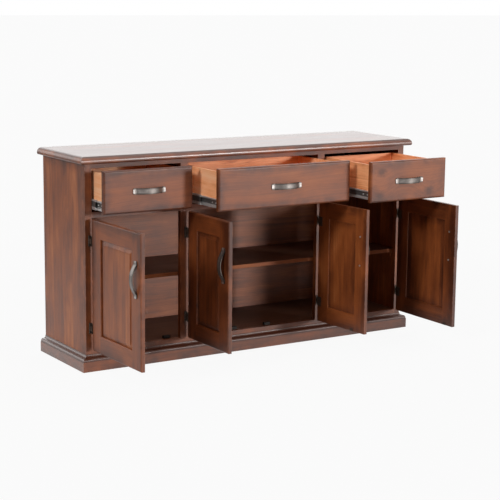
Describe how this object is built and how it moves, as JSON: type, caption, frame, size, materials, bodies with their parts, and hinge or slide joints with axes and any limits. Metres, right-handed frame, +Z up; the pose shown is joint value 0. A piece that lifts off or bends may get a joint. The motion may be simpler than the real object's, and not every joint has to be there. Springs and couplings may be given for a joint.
{
  "type": "buffet",
  "caption": "Pine buffet with inset drawers on telescopic slides above inset panelled doors on barrel hinges, a shelf inside, a moulded top and a moulded plinth.",
  "frame": {"origin": "on the floor under the middle of the carcase", "axes": "+X along the length to the right as seen from the front, +Y from the front to the back, +Z up"},
  "size_m": [1.7, 0.8469, 0.9],
  "materials": {
    "stained_pine": "satin stain",
    "plain_pine": "clear satin",
    "pewter": "antique pewter",
    "black_iron": "black",
    "slide_steel": "bright zinc",
    "catch_plastic": "matt"
  },
  "bodies": {
    "carcase": {"top_board": "stained_pine", "side_left": "stained_pine", "side_right": "stained_pine", "back_panel": "stained_pine", "floor_board": "stained_pine", "shelf": "stained_pine", "frieze_rail": "stained_pine", "drawer_rails": "stained_pine", "bottom_rail": "stained_pine", "stile_left": "stained_pine", "stile_right": "stained_pine", "post_left": "stained_pine", "post_right": "stained_pine", "plinth_front": "stained_pine", "plinth_left": "stained_pine", "plinth_right": "stained_pine", "shelf_cleats": "stained_pine", "drawer_deck": "stained_pine", "divider_left": "stained_pine", "divider_right": "stained_pine", "floor_bearer": "stained_pine", "slide_packers": "stained_pine", "slide_channels": "slide_steel", "hinge_frame_leaves": "black_iron", "hinge_pins": "black_iron", "magnet_catches": "catch_plastic"},
    "drawer_1": {"drawer_1_front": "stained_pine", "drawer_1_box": "plain_pine", "drawer_1_bottom": "plain_pine", "drawer_1_handle": "pewter", "drawer_1_runners": "slide_steel"},
    "slide_1": {"slide_middle_1": "slide_steel"},
    "drawer_2": {"drawer_2_front": "stained_pine", "drawer_2_box": "plain_pine", "drawer_2_bottom": "plain_pine", "drawer_2_handle": "pewter", "drawer_2_runners": "slide_steel"},
    "slide_2": {"slide_middle_2": "slide_steel"},
    "drawer_3": {"drawer_3_front": "stained_pine", "drawer_3_box": "plain_pine", "drawer_3_bottom": "plain_pine", "drawer_3_handle": "pewter", "drawer_3_runners": "slide_steel"},
    "slide_3": {"slide_middle_3": "slide_steel"},
    "door_1": {"door_1_frame": "stained_pine", "door_1_panel": "stained_pine", "door_1_handle": "pewter", "door_1_ironwork": "black_iron"},
    "door_2": {"door_2_frame": "stained_pine", "door_2_panel": "stained_pine", "door_2_handle": "pewter", "door_2_ironwork": "black_iron"},
    "door_3": {"door_3_frame": "stained_pine", "door_3_panel": "stained_pine", "door_3_handle": "pewter", "door_3_ironwork": "black_iron"},
    "door_4": {"door_4_frame": "stained_pine", "door_4_panel": "stained_pine", "door_4_handle": "pewter", "door_4_ironwork": "black_iron"}
  },
  "joints": [
    {"name": "drawer_1_slide", "type": "slide", "parent": "carcase", "child": "drawer_1", "axis": [0, -1, 0], "range_m": [-0.108, 0.242]},
    {"name": "slide_1_middle", "type": "slide", "parent": "carcase", "child": "slide_1", "axis": [0, -1, 0], "range_m": [-0.054, 0.121]},
    {"name": "drawer_2_slide", "type": "slide", "parent": "carcase", "child": "drawer_2", "axis": [0, -1, 0], "range_m": [-0.252, 0.098]},
    {"name": "slide_2_middle", "type": "slide", "parent": "carcase", "child": "slide_2", "axis": [0, -1, 0], "range_m": [-0.126, 0.049]},
    {"name": "drawer_3_slide", "type": "slide", "parent": "carcase", "child": "drawer_3", "axis": [0, -1, 0], "range_m": [-0.35, 0]},
    {"name": "slide_3_middle", "type": "slide", "parent": "carcase", "child": "slide_3", "axis": [0, -1, 0], "range_m": [-0.175, 0]},
    {"name": "door_1_hinge", "type": "hinge", "parent": "carcase", "child": "door_1", "pos_m": [-0.807, -0.209, 0.3665], "axis": [0, 0, -1], "range_deg": [-89, 21]},
    {"name": "door_2_hinge", "type": "hinge", "parent": "carcase", "child": "door_2", "pos_m": [-0.352, -0.209, 0.3665], "axis": [0, 0, -1], "range_deg": [-89.8, 10.2]},
    {"name": "door_3_hinge", "type": "hinge", "parent": "carcase", "child": "door_3", "pos_m": [0.352, -0.209, 0.3665], "axis": [0, 0, 1], "range_deg": [-93.5, 6.5]},
    {"name": "door_4_hinge", "type": "hinge", "parent": "carcase", "child": "door_4", "pos_m": [0.807, -0.209, 0.3665], "axis": [0, 0, 1], "range_deg": [-89.6, 20.4]}
  ],
  "couplings": [
    {"joint": "slide_1_middle", "follows": "drawer_1_slide", "ratio": 0.5},
    {"joint": "slide_2_middle", "follows": "drawer_2_slide", "ratio": 0.5},
    {"joint": "slide_3_middle", "follows": "drawer_3_slide", "ratio": 0.5}
  ]
}
